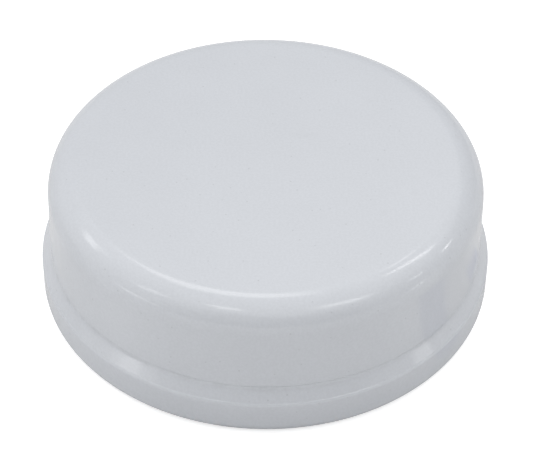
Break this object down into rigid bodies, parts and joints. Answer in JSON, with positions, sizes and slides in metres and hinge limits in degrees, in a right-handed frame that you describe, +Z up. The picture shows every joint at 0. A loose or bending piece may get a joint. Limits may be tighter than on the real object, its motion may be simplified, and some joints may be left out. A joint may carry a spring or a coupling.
{
  "type": "dealer button",
  "caption": "Blank white dealer button: a weighted two-part puck with a rounded top edge and a sloping shoulder, and felt underneath.",
  "frame": {"origin": "on the table, at the centre of the felt disc's lower face", "axes": "+Z up along the button's axis; one of the three hidden screws lies on +Y"},
  "size_m": [0.0762, 0.0762, 0.0254],
  "materials": {
    "white_gloss_plastic": "moulded, polished gloss",
    "zinc_plated_steel": "stamped and bright zinc plated",
    "grey_foam": "closed-cell foam, cut surface",
    "screw_steel": "bright zinc plated",
    "green_felt": "pressed wool felt"
  },
  "bodies": {
    "root": {"cap_shell": "white_gloss_plastic", "base_shell": "white_gloss_plastic", "ballast_disc_1": "zinc_plated_steel", "ballast_disc_2": "zinc_plated_steel", "foam_disc": "grey_foam", "base_screws": "screw_steel", "felt_pad": "green_felt"}
  },
  "joints": []
}
